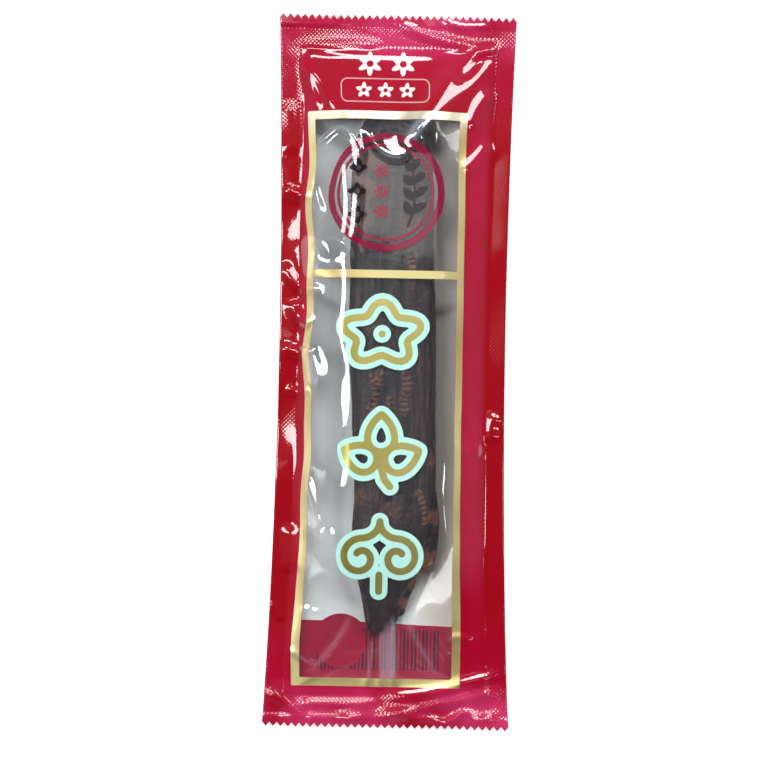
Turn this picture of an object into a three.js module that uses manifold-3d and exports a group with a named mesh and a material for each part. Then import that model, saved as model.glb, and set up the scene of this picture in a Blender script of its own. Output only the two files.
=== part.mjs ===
// One pressed red ginseng root sealed in a flat film sachet.
// Millimetres, +Z up. The sachet lies on its back: X runs across it, +Y points to the end
// where the root's head lies, and the origin is on the resting plane under its middle.
import * as THREE from "three";
import { mergeVertices } from "three/addons/utils/BufferGeometryUtils.js";
import Module from "manifold-3d";

// ---- Driving dimensions of the sachet -------------------------------------------------
const LENGTH = 179; // over the tips of the cut teeth
const WAIST_WIDTH = 56.4; // where the root draws the film in
const HEAD_WIDTH = 59.4;
const FOOT_WIDTH = 62;
const WAIST_Y = 10;
const SIDE_SEAL = 5;
const END_SEAL = 5.5;
const CUT_MARGIN = 3; // unsealed lip between an end seal and the cut
const FILM = 0.3; // laminate, drawn thicker than the real 0.1 mm
const GAP = 0.3; // clearance kept between neighbouring solids
const TOOTH_PITCH = 1.85;
const TOOTH_DEPTH = 1.1;
const HEIGHT = 14;

// ---- Driving dimensions of the root ---------------------------------------------------
const ROOT_FLOOR = FILM + GAP + 0.1; // underside of the root above the resting plane
const PRESSED_CORNER = 3.4; // exponent of the squared cross-section
const ROOT_SIDES = 24;

// Straight runs between stations [where, value], held level past both ends.
function along(stations, where) {
  const last = stations.length - 1;
  if (where <= stations[0][0]) return stations[0][1];
  if (where >= stations[last][0]) return stations[last][1];
  const next = stations.findIndex(([at]) => at > where);
  const [from, start] = stations[next - 1];
  const [to, end] = stations[next];
  return THREE.MathUtils.mapLinear(where, from, to, start, end);
}

// ---- Shape of the filled sachet -------------------------------------------------------
const SEAL_EDGE_Y = LENGTH / 2 - CUT_MARGIN - END_SEAL;

// Height of the seam plane: held up by the root in the middle, drooping at the two ends.
const SEAM_HEIGHT = [[-LENGTH / 2, 2.2], [-60, 3.8], [-30, 5.7], [5, 6.3], [50, 6.0], [LENGTH / 2, 4.3]];
// Top of the front film over the root, half the width of that ridge, and the ridge's middle.
const RIDGE_TOP = [[-72, 3.6], [-58, 7.9], [-50, 10.6], [-42, 12.2], [-30, 13.6], [-18, HEIGHT],
  [58, HEIGHT], [65, 12.4], [71, 10.2]];
const RIDGE_HALF = [[-72, 3.6], [-58, 7.6], [-52, 10.8], [-44, 13.0], [-20, 12.0], [6, 12.5],
  [50, 11.9], [60, 10.2], [71, 6.0]];
const RIDGE_MIDDLE = [[-72, -2.2], [-58, -0.6], [-44, 0.9], [-22, 1.2], [0, 0.1], [30, -0.4], [71, -1.2]];
const BACK_FLAT_ENDS = [-70, 68]; // the back film lies on the resting plane between these

const sealSideWidth = (y) => halfWidth(y) - SIDE_SEAL;
const CREASE_ROUNDING = 0.16; // each crease's rounding, as a share of the slope's width

function halfWidth(y) {
  const away = y - WAIST_Y;
  const [end, width] = away > 0 ? [LENGTH / 2, HEAD_WIDTH] : [-LENGTH / 2, FOOT_WIDTH];
  const share = away / (end - WAIST_Y);
  return (WAIST_WIDTH + (width - WAIST_WIDTH) * share * share) / 2;
}

// A value that holds over the root and runs straight out to the end seals past it.
function towardsSeals(stations, y, sealValue) {
  const first = stations[0];
  const last = stations[stations.length - 1];
  const run = [[-SEAL_EDGE_Y, sealValue], ...stations, [SEAL_EDGE_Y, sealValue]];
  return y < first[0] || y > last[0] ? along(run, y) : along(stations, y);
}

// A ramp that starts at 0, with its corner rounded by a parabola.
function ramp(v) {
  if (v <= -CREASE_ROUNDING) return 0;
  return v >= CREASE_ROUNDING ? v : (v + CREASE_ROUNDING) ** 2 / (4 * CREASE_ROUNDING);
}

// 1 over the ridge, 0 at the seal, straight between, with both creases rounded.
const tautSlope = (t) => 1 - ramp(t) + ramp(t - 1);

const ridgeHalf = (y) => Math.min(towardsSeals(RIDGE_HALF, y, sealSideWidth(y)), sealSideWidth(y));
const ridgeMiddle = (y) => towardsSeals(RIDGE_MIDDLE, y, 0);

function slopeAt(x, y) {
  const side = Math.sign(x - ridgeMiddle(y)) || 1;
  const foot = side * sealSideWidth(y) - ridgeMiddle(y);
  const run = Math.max(Math.abs(foot) - ridgeHalf(y), 0.5);
  return tautSlope((Math.abs(x - ridgeMiddle(y)) - ridgeHalf(y)) / run);
}

// Outer face of the front film, and of the back film.
function frontHeight(x, y) {
  const seam = along(SEAM_HEIGHT, y) + GAP / 2 + FILM;
  const top = towardsSeals(RIDGE_TOP, y, seam);
  return seam + (top - seam) * slopeAt(x, y);
}

function backHeight(x, y) {
  const seam = along(SEAM_HEIGHT, y) - GAP / 2 - FILM;
  const [foot, head] = BACK_FLAT_ENDS;
  const stations = [[-SEAL_EDGE_Y, seam], [foot, 0], [head, 0], [SEAL_EDGE_Y, seam]];
  const low = along(stations, y);
  return seam + (low - seam) * slopeAt(x, y);
}

// ---- Film pieces ----------------------------------------------------------------------
// Rows of the film's grid: close at both ends, where it turns flat, and even between.
function filmRows() {
  const rows = [];
  const steps = 26;
  for (let i = 0; i <= steps; i++) rows.push(THREE.MathUtils.lerp(-SEAL_EDGE_Y, SEAL_EDGE_Y, i / steps));
  const lip = LENGTH / 2;
  return [-lip, -lip + CUT_MARGIN, ...rows, lip - CUT_MARGIN, lip];
}

// Columns from the ridge's middle out to one edge, placed on the creases.
function filmColumns(y, side) {
  const middle = ridgeMiddle(y);
  const half = ridgeHalf(y);
  const crest = middle + side * half;
  const foot = side * sealSideWidth(y);
  const onSlope = (share) => THREE.MathUtils.lerp(crest, foot, share);
  return [middle, middle + side * half * 0.55, middle + side * half * 0.86, onSlope(0.03), onSlope(0.16),
    onSlope(0.5), onSlope(0.86), onSlope(1.06), side * halfWidth(y)];
}

// A box grid whose outer skin follows heightOf and whose inner skin lies FILM inside it.
function filmGeometry(heightOf, inward) {
  const rows = filmRows();
  const perSide = filmColumns(0, 1).length - 1;
  const geometry = new THREE.BoxGeometry(1, 1, 1, 2 * perSide, rows.length - 1, 1);
  const place = geometry.getAttribute("position");
  for (let i = 0; i < place.count; i++) {
    const column = Math.round((place.getX(i) + 0.5) * 2 * perSide) - perSide;
    const y = rows[Math.round((place.getY(i) + 0.5) * (rows.length - 1))];
    const x = filmColumns(y, column < 0 ? -1 : 1)[Math.abs(column)];
    const outer = heightOf(x, y);
    const isOuterSkin = place.getZ(i) * inward < 0;
    place.setXYZ(i, x, y, isOuterSkin ? outer : outer + inward * FILM);
  }
  return geometry;
}

// ---- Joining and cutting --------------------------------------------------------------
const wasm = await Module();
wasm.setup();

function solidFrom(geometry) {
  const bare = geometry.clone();
  bare.deleteAttribute("normal");
  bare.deleteAttribute("uv");
  const merged = mergeVertices(bare, 1e-4);
  const corners = merged.index.array;
  const kept = [];
  for (let i = 0; i < corners.length; i += 3) {
    const [a, b, c] = [corners[i], corners[i + 1], corners[i + 2]];
    if (a !== b && b !== c && c !== a) kept.push(a, b, c);
  }
  return new wasm.Manifold(new wasm.Mesh({
    numProp: 3,
    vertProperties: merged.getAttribute("position").array,
    triVerts: new Uint32Array(kept),
  }));
}

function geometryFrom(solid) {
  const mesh = solid.getMesh();
  const geometry = new THREE.BufferGeometry();
  geometry.setAttribute("position", new THREE.BufferAttribute(new Float32Array(mesh.vertProperties), 3));
  geometry.setIndex(new THREE.BufferAttribute(new Uint32Array(mesh.triVerts), 1));
  geometry.computeVertexNormals();
  return geometry;
}

// Everything past the zigzag line at one end, as a block to cut away.
function pinkingBlade(end) {
  const tip = LENGTH / 2;
  const valley = tip - TOOTH_DEPTH;
  const halfTeeth = Math.ceil(FOOT_WIDTH / TOOTH_PITCH) + 2;
  const outline = new THREE.Shape();
  outline.moveTo((-halfTeeth * TOOTH_PITCH) / 2, tip + 5);
  for (let i = -halfTeeth; i <= halfTeeth; i++) {
    outline.lineTo((i * TOOTH_PITCH) / 2, i % 2 === 0 ? tip : valley);
  }
  outline.lineTo((halfTeeth * TOOTH_PITCH) / 2, tip + 5);
  outline.closePath();
  const blade = new THREE.ExtrudeGeometry(outline, { depth: 3 * HEIGHT, bevelEnabled: false });
  blade.translate(0, 0, -HEIGHT);
  if (end < 0) blade.rotateZ(Math.PI);
  return solidFrom(blade);
}

function filmPiece(name, heightOf, inward, material) {
  let solid = solidFrom(filmGeometry(heightOf, inward));
  for (const end of [1, -1]) solid = solid.subtract(pinkingBlade(end));
  return namedMesh(name, geometryFrom(solid), material);
}

// ---- The root -------------------------------------------------------------------------
// Stations along the body: [y, half width, half thickness, middle x].
const BODY = [
  [-67, 0, 0, -3.6], [-65.5, 1.7, 1.2, -3.3], [-62, 2.9, 2.0, -2.9], [-58, 4.6, 2.9, -2.0],
  [-53, 6.6, 3.8, -1.3], [-48, 8.6, 4.7, -0.5], [-42, 9.8, 5.4, 0.4], [-32, 10.4, 6.0, 1.5],
  [-20, 10.5, 6.2, 1.2], [-5, 10.7, 6.3, 0.5], [8, 11.1, 6.3, -0.2], [25, 10.7, 6.3, -0.3],
  [42, 10.5, 6.3, -0.6], [52, 10.3, 6.1, -0.8], [58, 9.2, 5.7, -1.0], [62, 7.6, 5.0, -1.2],
  [65, 5.0, 3.6, -1.6], [66.5, 0, 0, -2],
];

function squared(angle, half, power) {
  const wave = Math.sin(angle);
  return half * Math.sign(wave) * Math.abs(wave) ** (2 / power);
}

// A turned profile whose rings are pressed into squared ones and moved onto their middles.
function pressedBody() {
  const profile = BODY.map(([y, width]) => new THREE.Vector2(width > 0 ? 1 : 0, y));
  const body = new THREE.LatheGeometry(profile, ROOT_SIDES);
  const place = body.getAttribute("position");
  for (let i = 0; i < place.count; i++) {
    const [y, width, thickness, middle] = BODY.reduce((near, station) =>
      Math.abs(station[0] - place.getY(i)) < Math.abs(near[0] - place.getY(i)) ? station : near);
    const angle = Math.atan2(place.getZ(i), place.getX(i));
    const across = squared(angle + Math.PI / 2, width, PRESSED_CORNER);
    const up = squared(angle, thickness, PRESSED_CORNER);
    const fullest = Math.max(thickness, 1.2);
    place.setXYZ(i, middle + across, y, ROOT_FLOOR + fullest + up);
  }
  return body;
}

// A round limb that tapers along a curve: beads of a turned profile bent onto the curve.
function limb(points, radii) {
  const curve = new THREE.CatmullRomCurve3(points.map((p) => new THREE.Vector3(...p)));
  const rings = 7;
  const cap = 0.06;
  const profile = [new THREE.Vector2(0, 0), new THREE.Vector2(0.72, cap)];
  for (let i = 1; i < rings; i++) profile.push(new THREE.Vector2(1, i / rings));
  profile.push(new THREE.Vector2(0.72, 1 - cap), new THREE.Vector2(0, 1));
  const shape = new THREE.LatheGeometry(profile, 12);
  const place = shape.getAttribute("position");
  const up = new THREE.Vector3(0, 0, 1);
  for (let i = 0; i < place.count; i++) {
    const share = THREE.MathUtils.clamp(place.getY(i), 0, 1);
    const centre = curve.getPoint(share);
    const ahead = curve.getTangent(share);
    const side = new THREE.Vector3().crossVectors(ahead, up).normalize();
    const lift = new THREE.Vector3().crossVectors(side, ahead);
    const radius = THREE.MathUtils.lerp(radii[0], radii[1], share);
    centre.addScaledVector(side, place.getX(i) * radius).addScaledVector(lift, place.getZ(i) * radius);
    place.setXYZ(i, centre.x, centre.y, centre.z);
  }
  return shape;
}

const LIMBS = [
  { points: [[-3.6, 60, 6.6], [-4.2, 66, 6.8], [-4.0, 70, 7.0]], radii: [3.2, 2.2] }, // head
  { points: [[8.0, -30, 6.2], [8.7, -41, 5.4], [8.2, -50.5, 4.8]], radii: [4.2, 3.0] }, // side leg
  { points: [[1.2, -50, 4.0], [1.6, -57, 3.2], [1.1, -64.5, 2.4]], radii: [3.2, 1.2] }, // second tip
  { points: [[7.0, -46, 4.2], [5.6, -54, 3.0], [3.4, -61.5, 2.2]], radii: [1.5, 0.8] }, // rootlet
];

function rootPiece(material) {
  let solid = solidFrom(pressedBody());
  for (const { points, radii } of LIMBS) solid = solid.add(solidFrom(limb(points, radii)));
  return namedMesh("ginseng_root", geometryFrom(solid), material);
}

// ---- Materials and assembly -----------------------------------------------------------
function namedMesh(name, geometry, material) {
  const mesh = new THREE.Mesh(geometry, material);
  mesh.name = name;
  return mesh;
}

const rootSkin = new THREE.MeshStandardMaterial({ color: 0x4a2a1e, roughness: 0.45, metalness: 0 });
const redFilm = new THREE.MeshStandardMaterial({ color: 0xb8102c, roughness: 0.18, metalness: 0 });
const whiteFilm = new THREE.MeshStandardMaterial({ color: 0xd8d0c6, roughness: 0.25, metalness: 0 });

const sachet = new THREE.Group();
sachet.add(rootPiece(rootSkin));
sachet.add(filmPiece("back_film", backHeight, 1, whiteFilm));
sachet.add(filmPiece("front_film", frontHeight, -1, redFilm));

export default sachet;
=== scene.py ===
"""Looks of a pressed red ginseng root sealed in a printed film sachet.

Laid out as an add-on: the settings hold the sizes and colours, one operator makes each piece, and the
panel lists them. Shapes are worked out in millimetres, in the part's own frame, on whole numpy arrays.
"""

import math

import bpy
import numpy as np
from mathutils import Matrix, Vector


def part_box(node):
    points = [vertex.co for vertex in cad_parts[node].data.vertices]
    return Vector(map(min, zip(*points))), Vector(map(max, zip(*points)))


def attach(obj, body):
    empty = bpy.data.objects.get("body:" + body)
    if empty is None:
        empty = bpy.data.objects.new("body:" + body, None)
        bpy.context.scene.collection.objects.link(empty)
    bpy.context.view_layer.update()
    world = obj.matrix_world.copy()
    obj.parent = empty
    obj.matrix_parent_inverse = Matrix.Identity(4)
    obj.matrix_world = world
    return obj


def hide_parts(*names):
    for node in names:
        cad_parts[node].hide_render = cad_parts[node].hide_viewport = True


bl_info = {
    "name": "Ginseng Root Sachet",
    "version": (1, 0, 0),
    "blender": (4, 5, 0),
    "location": "3D View > Sidebar > Sachet",
    "description": "Builds a pressed ginseng root in a sealed, printed film sachet",
    "category": "Add Mesh",
}

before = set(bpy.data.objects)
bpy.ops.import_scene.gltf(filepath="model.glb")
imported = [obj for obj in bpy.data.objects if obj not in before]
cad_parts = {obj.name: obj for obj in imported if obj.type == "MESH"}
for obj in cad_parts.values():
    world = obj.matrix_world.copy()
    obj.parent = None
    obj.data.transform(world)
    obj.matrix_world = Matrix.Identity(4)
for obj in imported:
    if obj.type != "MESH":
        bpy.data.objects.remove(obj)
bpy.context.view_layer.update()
MM = 0.001  # metres in a millimetre

FRONT_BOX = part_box("front_film")
ROOT_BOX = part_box("ginseng_root")
LENGTH = (FRONT_BOX[1].y - FRONT_BOX[0].y) / MM
FOOT_HALF = FRONT_BOX[1].x / MM
HEIGHT = FRONT_BOX[1].z / MM
ROOT_HEAD_Y = ROOT_BOX[1].y / MM
ROOT_FLOOR = ROOT_BOX[0].z / MM


# ---------------------------------------------------------------- colours and settings

def linear(code):
    """An sRGB hex colour as three linear numbers."""
    parts = [int(code[i : i + 2], 16) / 255 for i in (1, 3, 5)]
    return tuple(p / 12.92 if p <= 0.04045 else ((p + 0.055) / 1.055) ** 2.4 for p in parts)


def colour(name, code, description):
    """A colour property whose default is given as sRGB hex."""
    return bpy.props.FloatVectorProperty(
        name=name, description=description, subtype="COLOR", size=3, min=0, max=1, default=linear(code)
    )


def distance(name, millimetres, description):
    """A length property, held in metres, whose default is given in millimetres."""
    return bpy.props.FloatProperty(
        name=name, description=description, subtype="DISTANCE", unit="LENGTH", default=millimetres * MM
    )


class RootSettings(bpy.types.PropertyGroup):
    """Sizes and colours of the root."""

    voxel: distance("Skin grid", 0.34, "Spacing of the points of the finished skin")
    furrow: distance("Furrow depth", 0.42, "Depth of the furrows that run along the body")
    ring: distance("Ring depth", 0.16, "Depth of the wrinkles that run round the head")
    skin: colour("Skin", "#301E21", "Steamed and dried skin, dark reddish brown")
    # The ridge colour lightens streaks on the raised skin; the darkening of the furrows is painted shade.
    ridge: colour("Ridge", "#6A493F", "Rubbed tops of the wrinkles")
    scar: colour("Scar", "#A4683F", "Corky scars and the broken side leg")


class FilmSettings(bpy.types.PropertyGroup):
    """Sizes and colours of the two films."""

    thickness: distance("Laminate", 0.12, "Thickness of one film")
    side_seal: distance("Side seal", 5.0, "Width of the crimped seal along each side")
    end_seal: distance("End seal", 5.5, "Width of the crimped seal across each end")
    lip: distance("Cut margin", 3.0, "Unsealed lip between an end seal and the cut")
    tooth: distance("Tooth depth", 1.1, "Depth of the zigzag cut")
    hatch: distance("Crimp pitch", 1.0, "Spacing of the crimped diamonds, drawn coarser than real")
    red: colour("Red", "#9C0012", "Crimson ink, reverse printed under gloss")
    # The thinner red: partly the thinner ink's own colour, partly a painted glow of light coming through
    # it.
    backlit_pink: colour("Thin red", "#B6023C", "Crimson where only one layer of ink backs it")
    gold: colour("Gold", "#F0E3A0", "Gold ink of the frame and the ornaments")
    mint: colour("Mint", "#BCF3E8", "Pale mint outline of the ornaments")
    white: colour("White", "#F4ECE8", "Opaque white ink")
    pearl: colour("Pearl", "#FCFEFF", "Pearl white inside of the back film")


class StageSettings(bpy.types.PropertyGroup):
    """Camera and light."""

    camera_height: distance("Camera height", 640, "Height of the camera over the floor")
    view_width: distance("View width", 189.25, "Width of what the camera sees at the film")
    floor: colour("Floor", "#F6F5F3", "Plain pale floor")


# ---------------------------------------------------------------- array helpers

def along(stations, where):
    """Straight runs between stations (where, value), held level past both ends."""
    places, values = zip(*stations)
    return np.interp(where, places, values)


def smooth_along(stations, where, reach):
    """along(), averaged over `reach` to each side, so that its corners are rounded."""
    steps = np.linspace(-1, 1, 9)
    weights = 1.001 - np.abs(steps)
    runs = [w * along(stations, where + reach * s) for s, w in zip(steps, weights)]
    return sum(runs) / weights.sum()


def ease(value):
    """0 below 0, 1 above 1, and a smooth cubic between."""
    held = np.clip(value, 0, 1)
    return held * held * (3 - 2 * held)


def lattice_noise(points, sizes, seed):
    """Value noise from -1 to 1: random numbers on a lattice of the given cell sizes, blended by a cubic."""
    scaled = points / np.asarray(sizes, float) + seed * 17.31
    cell = np.floor(scaled).astype(np.int64)
    part = scaled - cell
    part = part * part * (3 - 2 * part)
    total = np.zeros(points.shape[:-1])
    dimensions = points.shape[-1]
    primes = np.array([73856093, 19349663, 83492791])[:dimensions]
    for corner in np.ndindex(*(2,) * dimensions):
        offset = np.array(corner)
        mixed = ((cell + offset) * primes).sum(-1) ^ (seed * 2654435761)
        mixed = (mixed ^ (mixed >> 13)) * 1274126177 & 0x7FFFFFFF
        mixed = (mixed ^ (mixed >> 16)) & 0xFFFF
        weight = np.prod(np.where(offset == 1, part, 1 - part), axis=-1)
        total += weight * (mixed / 32767.5 - 1)
    return total


def distance_to_path(x, y, path):
    """Distance from each point to a chain of straight runs, and how far along it the nearest point lies."""
    path = np.asarray(path, float)
    lengths = np.linalg.norm(np.diff(path, axis=0), axis=1)
    before = np.concatenate([[0], np.cumsum(lengths)])
    best = np.full(np.shape(x), 1e9)
    share = np.zeros(np.shape(x))
    for (x0, y0), (x1, y1), start, run in zip(path[:-1], path[1:], before, lengths):
        t = np.clip(((x - x0) * (x1 - x0) + (y - y0) * (y1 - y0)) / max(run * run, 1e-9), 0, 1)
        away = np.hypot(x - x0 - t * (x1 - x0), y - y0 - t * (y1 - y0))
        nearer = away < best
        best = np.where(nearer, away, best)
        share = np.where(nearer, (start + t * run) / before[-1], share)
    return best, share


def curve_through(points, count):
    """A smooth path through its points: cubic pieces whose slopes are half the step between neighbours."""
    points = np.asarray(points, float)
    slopes = np.gradient(points, axis=0)
    place = np.linspace(0, len(points) - 1, count)
    piece = np.minimum(place.astype(int), len(points) - 2)
    t = (place - piece)[:, None]
    start, end, leave, arrive = points[piece], points[piece + 1], slopes[piece], slopes[piece + 1]
    return ((2 * t**3 - 3 * t**2 + 1) * start + (t**3 - 2 * t**2 + t) * leave
            + (3 * t**2 - 2 * t**3) * end + (t**3 - t**2) * arrive)


def rectangle_distance(x, y, low, high):
    """Signed distance to a rectangle's edge, negative inside."""
    dx = np.maximum(low[0] - x, x - high[0])
    dy = np.maximum(low[1] - y, y - high[1])
    return np.minimum(np.maximum(dx, dy), 0) + np.hypot(np.maximum(dx, 0), np.maximum(dy, 0))


# ---------------------------------------------------------------- mesh helpers

def new_object(name, points, faces):
    """A smooth-shaded mesh object from points in millimetres and a list of faces."""
    mesh = bpy.data.meshes.new(name)
    mesh.from_pydata((np.asarray(points) * MM).tolist(), [], faces)
    mesh.shade_smooth()
    piece = bpy.data.objects.new(name, mesh)
    bpy.context.scene.collection.objects.link(piece)
    return piece


def read_points(mesh):
    """The mesh's points in millimetres."""
    found = np.empty(len(mesh.vertices) * 3, np.float32)
    mesh.vertices.foreach_get("co", found)
    return found.reshape(-1, 3).astype(float) / MM


def write_points(mesh, points):
    """Puts points in millimetres back into the mesh."""
    mesh.vertices.foreach_set("co", (points * MM).astype(np.float32).ravel())
    mesh.update()


def write_value(mesh, name, values):
    """A number for each point, which a material reads by name."""
    made = mesh.attributes.new(name, "FLOAT", "POINT")
    made.data.foreach_set("value", np.asarray(values, np.float32).ravel())


def grid_faces(rows, columns, start=0):
    """Quads of a grid of rows by columns points, numbered row by row from `start`."""
    index = start + np.arange(rows * columns).reshape(rows, columns)
    corners = (index[:-1, :-1], index[:-1, 1:], index[1:, 1:], index[1:, :-1])
    return np.stack([c.ravel() for c in corners], axis=1)


def finish_piece(piece, slot, material, *nodes):
    """Gives a piece its material and its body, and hides the CAD nodes it stands for. The slot it is given
    is not used.
    """
    piece.data.materials.clear()
    piece.data.materials.append(material)
    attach(piece, "root")
    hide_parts(*nodes)


# ---------------------------------------------------------------- material helpers

def add(tree, kind, settings=None, **links):
    """Adds a node. `settings` are its own values or its inputs' values, `links` join inputs to outputs."""
    node = tree.nodes.new("ShaderNode" + kind)
    for key, value in (settings or {}).items():
        if isinstance(key, str) and hasattr(node, key):
            setattr(node, key, value)
        else:
            node.inputs[key].default_value = value
    for key, source in links.items():
        name = key.replace("_", " ")
        socket = node.inputs[int(key[1:])] if key[1:].isdigit() else node.inputs[name]
        tree.links.new(source, socket)
    return node


def new_material(name):
    """An empty node material with its output, as (material, tree, output)."""
    material = bpy.data.materials.new(name)
    material.use_nodes = True
    tree = material.node_tree
    tree.nodes.clear()
    return material, tree, tree.nodes.new("ShaderNodeOutputMaterial")


def rgba(values):
    """Three linear numbers as a node colour."""
    return (*values, 1.0)


def value_of(tree, name):
    """The output that reads a point attribute."""
    return add(tree, "Attribute", {"attribute_name": name}).outputs["Fac"]


def step_below(tree, source, softness=0.07, level=0.0):
    """1 where the source is under the level, 0 above, with a soft edge."""
    return add(
        tree, "MapRange",
        {"From Min": level + softness, "From Max": level - softness, "To Min": 0.0, "To Max": 1.0},
        Value=source,
    ).outputs["Result"]


def between(tree, source, start, end, most=1.0):
    """0 up to `start`, `most` from `end` on, and a straight run between them."""
    settings = {"From Min": start, "From Max": end, "To Max": most}
    return add(tree, "MapRange", settings, Value=source).outputs["Result"]


def mix(tree, factor, first, second):
    """A colour mix. Each colour is an output or three numbers."""
    node = add(tree, "Mix", {"data_type": "RGBA"})
    for socket, given in ((node.inputs[0], factor), (node.inputs[6], first), (node.inputs[7], second)):
        if isinstance(given, bpy.types.NodeSocket):
            tree.links.new(given, socket)
        elif isinstance(given, (int, float)):
            socket.default_value = given
        else:
            socket.default_value = rgba(given)
    return node.outputs[2]


def maths(tree, operation, first, second=0.0, third=0.0):
    """A maths node on numbers or outputs."""
    node = add(tree, "Math", {"operation": operation})
    for socket, given in zip(node.inputs, (first, second, third)):
        if isinstance(given, bpy.types.NodeSocket):
            tree.links.new(given, socket)
        else:
            socket.default_value = given
    return node.outputs[0]


# ---------------------------------------------------------------- shape of the filled sachet

# Stations along Y in millimetres. The seam plane is held up by the root and droops at the ends.
SEAM_HEIGHT = [(-LENGTH / 2, 2.2), (-60, 3.8), (-30, 5.7), (5, 6.3), (50, 6.0), (LENGTH / 2, 4.3)]
RIDGE_TOP = [(-72, 3.6), (-58, 7.9), (-50, 10.6), (-42, 12.2), (-30, 13.6), (-18, HEIGHT), (90, HEIGHT)]
RIDGE_HALF = [(-72, 3.6), (-58, 7.6), (-52, 10.8), (-44, 13.0), (-20, 12.0), (6, 12.5),
              (50, 11.9), (58, 10.2), (65, 8.0), (72, 6.4)]
RIDGE_MIDDLE = [(-72, -2.2), (-58, -0.6), (-44, 0.9), (-22, 1.2), (0, 0.1), (30, -0.4), (71, -1.2)]
# The film falls from the root's head to the head seal: heights along Y, and how the crest curves.
HEAD_FALL = [(42, 17.75), (54.5, 14.0), (58.3, 12.85), (70, 8.6), (76, 6.4)]
HEAD_CREST_CURVE, HEAD_CREST_REACH, HEAD_CREST_SOFTNESS = 0.06, 2.4, 0.9
BACK_FLAT_ENDS = (-70, 68)
WAIST_HALF, WAIST_Y, HEAD_HALF = 28.2, 10, 29.7
CREASE_ROUNDING = 0.07
TEETH = 33
COLUMNS_PER_TOOTH = 4
SEAM_CLEARANCE = 0.02

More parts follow.
